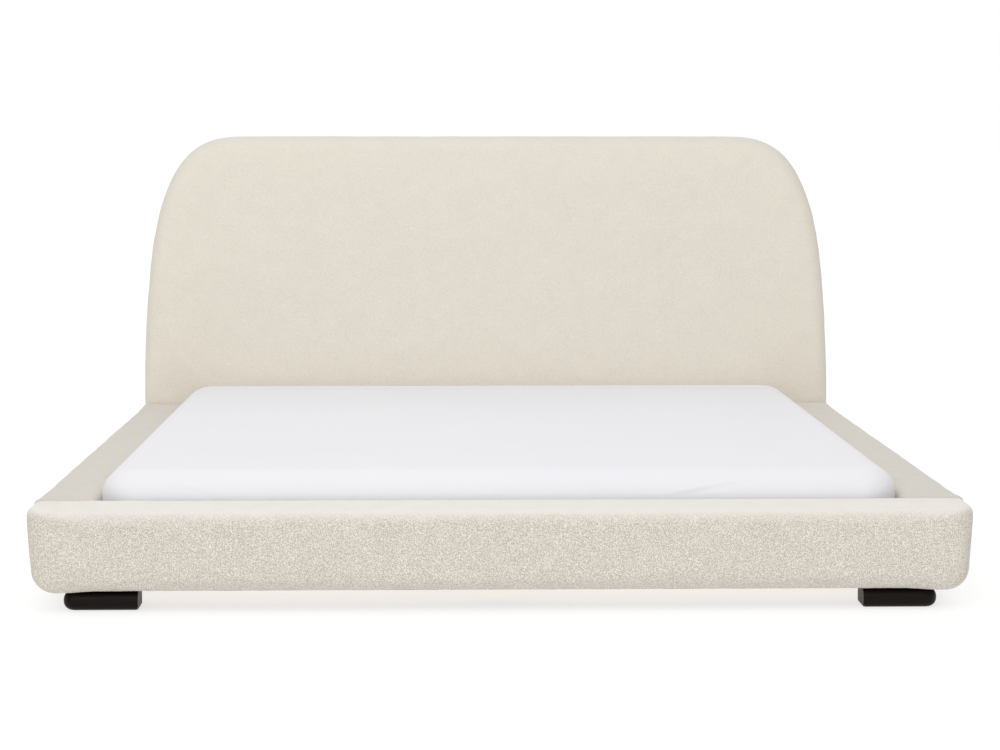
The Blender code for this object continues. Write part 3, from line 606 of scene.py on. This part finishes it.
def foot_rail():
    """The rail across the foot end: a block whose front corners are round in plan, with deep rolls along
    its front and ends, and a small roll along the tray and the side rails. Its ends lean in and sag."""
    step = 10 * MM
    low, high = FOOT_LOW, FOOT_HIGH
    points, quads = block(
        spaced(low.x - PROUD, high.x + PROUD, step),
        spaced(low.y + SHY, high.y, step),
        spaced(low.z, high.z - SHY, step),
    )
    start_low, start_high = points.min(axis=0), points.max(axis=0)
    back = (1, high.y, 1)
    ease(points, back, (2, start_high[2], 1), TRAY_ROLL[1])
    ease(points, back, (2, low.z, -1), TRAY_ROLL[0])
    ease(points, back, (0, start_high[0], 1), FOOT_BUTT_ROLL)
    ease(points, back, (0, start_low[0], -1), FOOT_BUTT_ROLL)
    corner = (PLAN_CORNER, PLAN_CORNER, 2.0)
    upholster(
        points,
        "xyz",
        start_low,
        start_high + np.array([0, PAST, 0]),
        [corner] * 4,
        [FOOT_ROLL] * 4,
        rim=RAIL_RIM,
    )
    under = tuck_under(
        points,
        low,
        [
            (0, start_high[0], 1, UNDER_RIM),
            (0, start_low[0], -1, UNDER_RIM),
            (1, start_low[1], -1, UNDER_RIM),
        ],
    )
    tray = (points[:, 1] > high.y - NEAR) & (np.abs(points[:, 0]) < BARE["right"][0].x)
    hem = tray & (points[:, 2] < SUPPORT_TOP + HEM_RISE)
    points[hem, 1] -= HEM_TUCK
    droop_top = high.z - DROOP_TOP
    fall = ((droop_top - points[:, 2]) / (droop_top - low.z)).clip(0, 1)
    outwards = rise(np.abs(points[:, 0]), high.x - DROOP_NONE, high.x - DROOP_FULL)
    points[:, 0] -= np.sign(points[:, 0]) * TAPER * fall * outwards
    points[:, 2] -= DROOP * fall * outwards * ~under
    held = (under | hem | (points[:, 2] < low.z + NEAR)).astype(float)
    butted = points[:, 1] > high.y - 20 * MM
    held = np.maximum(held, BUTT_HOLD * butted)
    finish_padding("foot_rail", points, quads, held, RAIL_SWELL, 11, BOUCLE)


def side_rail(side):
    """A rail along the side, cut off square at both ends, where it butts against the foot rail and the
    headboard with a small roll."""
    step = 10 * MM
    low, high = SIDE_BOX[side]
    out = 1 if side == "right" else -1
    points, quads = block(
        spaced(low.x - PROUD * (out < 0), high.x + PROUD * (out > 0), step),
        spaced(low.y, high.y, step),
        spaced(low.z, high.z, step),
    )
    start_low, start_high = points.min(axis=0), points.max(axis=0)
    outer, inner = (start_high[0], low.x) if out > 0 else (start_low[0], high.x)
    for end in ((1, low.y, -1), (1, high.y, 1)):
        ease(points, end, (2, start_high[2], 1), SIDE_BUTT_ROLL)
        ease(points, end, (0, outer, out), SIDE_BUTT_ROLL)
    past = np.array([0, PAST, 0])
    upholster(
        points,
        "xyz",
        start_low - past,
        start_high + past,
        [(PLAN_CORNER, PLAN_CORNER, 2.0)] * 4,
        [
            TRAY_ROLL if out > 0 else SIDE_ROLL,
            SIDE_ROLL,
            SIDE_ROLL if out > 0 else TRAY_ROLL,
            SIDE_ROLL,
        ],
        rim=RAIL_RIM,
    )
    under = tuck_under(
        points,
        low,
        [(0, outer, out, UNDER_RIM), (1, low.y, -1, 8 * MM), (1, high.y, 1, 8 * MM)],
    )
    hem = ((points[:, 0] - inner) * out < NEAR) & (points[:, 2] < SUPPORT_TOP + HEM_RISE)
    points[hem, 0] += HEM_TUCK * out
    held = (under | hem | (points[:, 2] < low.z + NEAR)).astype(float)
    butted = (points[:, 1] < low.y + 15 * MM) | (points[:, 1] > high.y - 15 * MM)
    held = np.maximum(held, BUTT_HOLD * butted)
    seed = 21 if out > 0 else 31
    finish_padding(side + "_side_rail", points, quads, held, RAIL_SWELL, seed, BOUCLE_SIDES)


def headboard():
    """The headboard: one slab whose outline has two superelliptic shoulders, rolled over at the edge."""
    step = 12 * MM
    low, high = HEAD_LOW, HEAD_HIGH
    points, quads = block(
        spaced(low.x - PROUD, high.x + PROUD, step),
        spaced(low.y + FACE_BACK, high.y, 9 * MM),
        spaced(low.z, high.z + PROUD, step),
    )
    low_corner = (40 * MM, 40 * MM, 2.0)
    upholster(
        points,
        "xzy",
        points.min(axis=0),
        points.max(axis=0),
        [low_corner, low_corner, SHOULDER, SHOULDER],
        [HEADBOARD_ROLL, HEADBOARD_FOOT_ROLL, HEADBOARD_ROLL, HEADBOARD_ROLL],
        rim=46 * MM,
    )
    rail_top = SIDE_BOX["left"][1].z
    spread = 1 - rise(points[:, 2], rail_top, rail_top + 400 * MM)
    points[:, 0] *= 1 + STAND_OUT / high.x * spread
    held = (points[:, 1] > high.y - 0.5 * MM).astype(float)
    finish_padding("headboard", points, quads, held, HEADBOARD_SWELL, 41, BOUCLE_HEADBOARD)


def soft_block(low, high, xs, ys, zs):
    """A mattress's shape: corners round in plan, edges rolled all round, and a top that is crowned by a
    few millimetres and falls off softly towards its edge. Also gives each point's starting inset from the
    sides."""
    points, quads = block(xs, ys, zs)
    inset = depth_in(points, low, high)
    corner = (MATTRESS_CORNER, MATTRESS_CORNER, 2.0)
    upholster(points, "xyz", low, high, [corner] * 4, [MATTRESS_ROLL] * 4, rim=74 * MM)
    top = rise(points[:, 2], high[2] - 60 * MM, high[2])
    fall = 1 - rise(inset, 40 * MM, 320 * MM)
    points[:, 2] += (CROWN * rise(inset, 0.0, 500 * MM) - EDGE_FALL * fall) * top
    return points, quads, inset


def graded(low, high, coarse, fine, zones):
    """Steps from low to high: fine inside the zones, each (from, to), and coarse elsewhere."""
    edges = [low] + [end for zone in zones for end in zone] + [high]
    runs = [
        spaced(a, b, fine if k % 2 else coarse)[:-1]
        for k, (a, b) in enumerate(zip(edges, edges[1:]))
        if b > a
    ]
    return np.concatenate(runs + [[high]])


def fitted_sheet():
    """The sheet: the mattress's form with pulled folds at the foot end, open below but for its hem, which
    is turned in and gathered by its elastic. The gathers are a product of two sine waves."""
    low, high = (np.array(end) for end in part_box("fitted_sheet"))
    points, quads, inset = soft_block(
        low,
        high,
        graded(low[0], high[0], 17 * MM, 5 * MM, FOLD_ZONES),
        graded(low[1], high[1], 19 * MM, 5 * MM, [(low[1], low[1] + 75 * MM)]),
        graded(low[2], high[2], 20 * MM, 5 * MM, [(high[2] - 90 * MM, high[2])]),
    )
    outwards = normals(points, quads)
    under = points[:, 2] < low[2] + NEAR
    gather = np.sin(points[:, 0] / (7 * MM)) * np.sin(points[:, 1] / (7 * MM))
    # the gathers rise and fall about a level that is as far above the mattress's underside
    tucked = GATHER * rise(inset, 30 * MM, HEM_WIDTH) * under
    height_out = sheet_folds(points, low) - tucked * (1 + gather)
    points += outwards * height_out[:, None]
    kept = ~(under[quads] & (inset[quads] > HEM_WIDTH)).all(axis=1)
    used, quads = np.unique(quads[kept], return_inverse=True)
    sheet = make_mesh("white_fitted_sheet", points[used], quads.reshape(-1, 4), PERCALE)
    thicken(sheet, 0.8 * MM)
    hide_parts("fitted_sheet")
    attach(sheet, "mattress")


def mattress():
    """The mattress itself. Its two faces are quilted in squares: they are drawn in where a product of two
    sine waves is near 0, which is along the squares' sides."""
    low, high = (np.array(end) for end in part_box("mattress"))
    low, high = low + 1.5 * MM, high - 1.5 * MM
    points, quads, inset = soft_block(low, high, *(spaced(low[k], high[k], 22 * MM) for k in range(3)))
    square = 160 * MM
    quilting = np.sin(points[:, 0] * math.pi / square) * np.sin(points[:, 1] * math.pi / square)
    flat_face = rise(inset, 70 * MM, 120 * MM)
    points -= normals(points, quads) * (1 - np.abs(quilting))[:, None] * flat_face[:, None] * 1.5 * MM
    core = make_mesh("mattress_core", points, quads, TICKING, subdivide=1)
    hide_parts("mattress")
    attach(core, "mattress")


FOLDS = (
    # x, way up the foot end's face and over its roll, slope in degrees, length, width, height in mm
    (0.486, 0.170, 17, 55, 7, 1.6),
    (0.548, 0.184, 19, 42, 6, 1.3),
    (0.440, 0.160, 12, 40, 7, 0.9),
    (-0.745, 0.176, -20, 40, 7, 0.9),
    (-0.800, 0.190, -28, 35, 7, 0.7),
    (0.850, 0.190, 32, 40, 7, 0.8),
)
FOLD_ZONES = [(-0.86, -0.66), (0.38, 0.64), (0.80, 0.90)]  # the stretches in x that hold them


def sheet_folds(points, low):
    """Height of the sheet's small pulled folds at the foot end. Each is a ridge, bell-shaped across its
    line and fading away along it, with a shallow dip on its lower side."""
    climb = points[:, 2] - low[2] + points[:, 1] - low[1]
    total = np.zeros(len(points))
    for x, start_climb, slope, length, width, height in FOLDS:
        turn = math.radians(slope)
        dx, dy = (points[:, 0] - x) / MM, (climb - start_climb) / MM
        along = dx * math.cos(turn) + dy * math.sin(turn)
        across = dy * math.cos(turn) - dx * math.sin(turn)
        ridge = np.exp(-((across / width) ** 2)) - 0.6 * np.exp(-((across / width + 1.6) ** 2))
        total += height * MM * ridge * np.exp(-((along / length) ** 2))
    return total


def thicken(sheet, thickness):
    """Gives a sheet its wall, inwards."""
    wall = sheet.modifiers.new("cloth_thickness", "SOLIDIFY")
    wall.thickness, wall.offset = thickness, -1.0


def feet():
    """Four low feet: blocks whose two outward sides are rolled and meet in a round corner. The other two
    sides are cut square and eased."""
    for node, show_x, show_y in (
        ("foot_front_left", -1, -1),
        ("foot_front_right", 1, -1),
        ("foot_rear_left", -1, 1),
        ("foot_rear_right", 1, 1),
    ):
        low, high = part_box(node)
        points, quads = block(*(spaced(low[k], high[k], 4.5 * MM) for k in range(3)))
        hidden_x = (0, low.x, -1) if show_x > 0 else (0, high.x, 1)
        hidden_y = (1, low.y, -1) if show_y > 0 else (1, high.y, 1)
        level = ((2, low.z, -1), (2, high.z, 1))
        ease(points, hidden_x, hidden_y, 6 * MM)
        for face in (hidden_x, hidden_y):
            for flat in level:
                ease(points, face, flat, 5 * MM)
        form_low = [low.x - (PAST if show_x > 0 else 0), low.y - (PAST if show_y > 0 else 0), low.z]
        form_high = [high.x + (PAST if show_x < 0 else 0), high.y + (PAST if show_y < 0 else 0), high.z]
        corner = (FEET_CORNER, FEET_CORNER, 2.0)
        upholster(points, "xyz", form_low, form_high, [corner] * 4, [FEET_ROLL] * 4, rim=26 * MM)
        material = LACQUER_X if "front" in node else LACQUER_Y
        name = node.replace("foot_", "") + "_lacquered_foot"
        foot = make_mesh(name, points, quads, material, subdivide=1)
        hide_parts(node)
        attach(foot, "frame")


def board(node, material, radius):
    """A planed board in place of a plain CAD one: each point of a block is pulled in to the smaller block
    that is radius inside, and put back at that distance, so all edges are round."""
    low, high = (np.array(end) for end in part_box(node))
    edge = radius * np.array([0, 0.3, 0.65, 1])
    rows = [np.concatenate([low[k] + edge, high[k] - edge[::-1]]) for k in range(3)]
    points, quads = block(*rows)
    core = points.clip(low + radius, high - radius)
    away = points - core
    points = core + radius * away / np.linalg.norm(away, axis=1)[:, None]
    piece = make_mesh(node + "_planed", points, quads, material)
    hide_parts(node)
    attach(piece, "frame")


def deck():
    """Slats, ledgers and centre beam as planed boards."""
    for node in SLATS:
        board(node, PINE_X, 3 * MM)
    for node in ("left_ledger", "right_ledger", "centre_beam"):
        board(node, PINE_Y, 2 * MM)


def slat_tape():
    """The tape that spaces the slats. It lies on them and dips a little in each gap, on a smooth slope."""
    low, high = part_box("slat_tape")
    points, quads = strip(spaced(low.x, high.x, 8 * MM), spaced(low.y, high.y, 6 * MM))
    boxes = [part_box(node) for node in SLATS]
    middles = np.array([(a.y + b.y) / 2 for a, b in boxes])
    half = (boxes[0][1].y - boxes[0][0].y) / 2
    past = np.abs(points[:, 1][:, None] - middles).min(axis=1) - half
    points[:, 2] = high.z - 4 * MM * rise(past, 0.0, 30 * MM)
    tape = make_mesh("slat_spacing_tape", points, quads, WEBBING)
    thicken(tape, 0.9 * MM)
    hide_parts("slat_tape")
    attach(tape, "frame")


def under_cloths():
    """Thin cloths stapled under the rails. Each hangs slack between its stapled edges by under a
    millimetre, with faint ripples."""
    for node in ("foot_rail_dust_cloth", "left_side_rail_dust_cloth", "right_side_rail_dust_cloth"):
        low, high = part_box(node)
        points, quads = strip(spaced(low.x, high.x, 14 * MM), spaced(low.y, high.y, 14 * MM))
        edge = depth_in(points, low, high)
        slack = rise(edge, 0.0, 30 * MM) * (0.3 + 0.12 * wander(points, 90 * MM, 51))
        points[:, 2] = low.z + 0.45 * MM - slack * MM
        cloth = make_mesh(node.replace("_dust", "_under"), points, quads[:, ::-1], DUST_CLOTH)
        thicken(cloth, 0.4 * MM)
        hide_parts(node)
        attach(cloth, "frame")


def back_lining():
    """The cloth over the headboard's back: a flat strip bent to the same outline, a little smaller, and
    faintly rippled between its stapled edges."""
    low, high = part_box("headboard_back_cloth")
    points, quads = strip(spaced(low.x, high.x, 14 * MM), spaced(low.z, high.z, 14 * MM))
    points = np.stack([points[:, 0], np.zeros(len(points)), points[:, 1]], axis=1)
    margin = low.z - HEAD_LOW.z
    width, drop, power = SHOULDER
    shoulder = (width - margin, drop - margin, power)
    corner = (12 * MM, 12 * MM, 2.0)
    edge = depth_in(points, low, high, axes=(0, 2))
    points[:, 1] = 0.5
    upholster(
        points,
        "xzy",
        (low.x, 0.0, low.z),
        (high.x, 1.0, high.z),
        [corner, corner, shoulder, shoulder],
        [(1 * MM, 1 * MM)] * 4,
        rim=10 * MM,
    )
    ripple = rise(edge, 0.0, 60 * MM) * (0.8 + 0.5 * wander(points, 220 * MM, 61))
    points[:, 1] = high.y - 0.5 * MM + ripple * MM
    cloth = make_mesh("headboard_back_lining", points, quads[:, ::-1], DUST_CLOTH_BACK)
    thicken(cloth, 0.4 * MM)
    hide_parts("headboard_back_cloth")
    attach(cloth, "frame")


CAD_FINISH = (
    # what the node's name ends or starts with, and its material
    ("_box_beam", PLYWOOD),
    ("_face_ply", PLYWOOD),
    ("_stud_frame", PINE_X),
    ("head_rail", PINE_X),
    ("_angle", POWDER),
    ("beam_hanger", POWDER),
    ("_bolt", ZINC),
    ("headboard_bolt", ZINC),
    ("centre_leg", LACQUER_Z),
    ("levelling_glide", NYLON),
)


def finish_cad_nodes():
    """Gives each CAD node that is kept its material."""
    for name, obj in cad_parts.items():
        for part, material in CAD_FINISH:
            if name.endswith(part) or name.startswith(part):
                obj.data.materials.clear()
                obj.data.materials.append(material)


# ---------------------------------------------------------------- stage, light and camera
SKY = 0.9  # the sky's brightness overhead, as a share of its white along the horizon
FLANK = 0.45  # and its share of that to the left and right


def lay_floor():
    """A wide pale floor. It throws no light back up, so undersides stay in shade as they do above a dull
    floor."""
    points, quads = strip(spaced(-400, 400, 100), spaced(-400, 400, 100))
    material, tree, shader, place = start("white_painted_floor", Roughness=0.9, Specular_IOR_Level=0.1)
    grain = add(tree, "TexNoise", {"Vector": place, "Scale": 3.0})
    colour = add(
        tree,
        "Mix",
        {"Factor": grain.outputs["Fac"], 6: linear("#9D9D9D"), 7: linear("#9A9A9A")},
        data_type="RGBA",
    )
    tree.links.new(colour.outputs[2], shader.inputs["Base Color"])
    floor = make_mesh("studio_floor", points, quads, material)
    floor.visible_diffuse = False
    shader.inputs["Emission Color"].default_value = linear("#FFFFFF")
    shader.inputs["Emission Strength"].default_value = 0.72


def light_sky():
    """A sky that is white along the horizon, a little dimmer overhead and much dimmer to the left and
    right."""
    world = bpy.data.worlds.new("studio")
    world.use_nodes = True
    tree = world.node_tree
    way = add(tree, "TexCoord")
    up = add(tree, "SeparateXYZ", {0: way.outputs["Generated"]})
    ramp = add(tree, "ValToRGB", {0: up.outputs[2]})
    stops = ramp.color_ramp.elements
    stops[0].position, stops[1].position = 0.0, 0.16
    stops[0].color = stops[1].color = (1.0, 1.0, 1.0, 1.0)
    above = stops.new(0.36)
    above.color = (SKY, SKY, SKY, 1.0)
    sideways = add(tree, "Math", {0: up.outputs[0]}, operation="ABSOLUTE")
    flank = add(
        tree,
        "MapRange",
        {"Value": sideways.outputs[0], "From Min": 0.35, "To Min": 1.0, "To Max": FLANK},
    )
    dimmed = add(tree, "Math", {0: ramp.outputs[0], 1: flank.outputs[0]}, operation="MULTIPLY")
    # the sky's light is dimmer than the white backdrop that is seen behind the bed
    seen = add(tree, "LightPath")
    shown = add(
        tree,
        "Math",
        {0: dimmed.outputs[0], 1: seen.outputs["Is Camera Ray"]},
        operation="MAXIMUM",
    )
    sky = tree.nodes["Background"]
    sky.inputs["Color"].default_value = linear("#FFFFFF")
    tree.links.new(shown.outputs[0], sky.inputs["Strength"])
    bpy.context.scene.world = world


def lamp(name, azimuth, elevation, share, spread):
    """A distant lamp. From azimuth (0 is the foot end, 90 the right side) and elevation, in degrees, it
    gives a facing white surface that share of full white; spread is its width in degrees, which softens
    its shadows."""
    light = bpy.data.lights.new(name, "SUN")
    light.energy, light.angle = share * math.pi, math.radians(spread)
    obj = bpy.data.objects.new(name, light)
    bpy.context.scene.collection.objects.link(obj)
    obj.rotation_euler = (math.radians(90 - elevation), 0.0, math.radians(azimuth))


def softbox(name, place, target, width, height, watts):
    """A rectangular area light at place, turned to target."""
    light = bpy.data.lights.new(name, "AREA")
    light.shape = "RECTANGLE"
    light.size, light.size_y, light.energy = width, height, watts
    obj = bpy.data.objects.new(name, light)
    bpy.context.scene.collection.objects.link(obj)
    obj.location = place
    obj.rotation_euler = (Vector(target) - Vector(place)).to_track_quat("-Z", "Y").to_euler()


LENS, SENSOR = 84.7, 36.0  # mm
CAMERA_PLACE = (-0.125, cad_box[0].y - 5.431, 1.108)
CAMERA_DOWN, CAMERA_RIGHT = 5.735, 1.26  # degrees that it looks down, and to the right


def camera():
    """A long lens low in front of the foot end, a little left of the middle."""
    data = bpy.data.cameras.new("camera")
    data.sensor_width, data.lens = SENSOR, LENS
    data.clip_end = 200.0
    obj = bpy.data.objects.new("camera", data)
    bpy.context.scene.collection.objects.link(obj)
    obj.location = CAMERA_PLACE
    obj.rotation_euler = (math.radians(90 - CAMERA_DOWN), 0.0, math.radians(-CAMERA_RIGHT))
    bpy.context.scene.camera = obj


lay_floor()
light_sky()
lamp("key", -20, 31, 0.18, 40)
lamp("back_fill", 165, 40, 0.06, 60)
softbox("foot_end", (-0.5, -2.3, 2.8), (0.0, -0.9, 0.2), 2.4, 1.2, 6)
softbox("head_end", (-0.7, -0.4, 3.0), (0.0, 1.0, 0.4), 1.8, 1.2, 6)
camera()
bpy.context.scene.view_settings.view_transform = "Standard"

foot_rail()
side_rail("left")
side_rail("right")
headboard()
fitted_sheet()
mattress()
feet()
deck()
slat_tape()
under_cloths()
back_lining()
finish_cad_nodes()
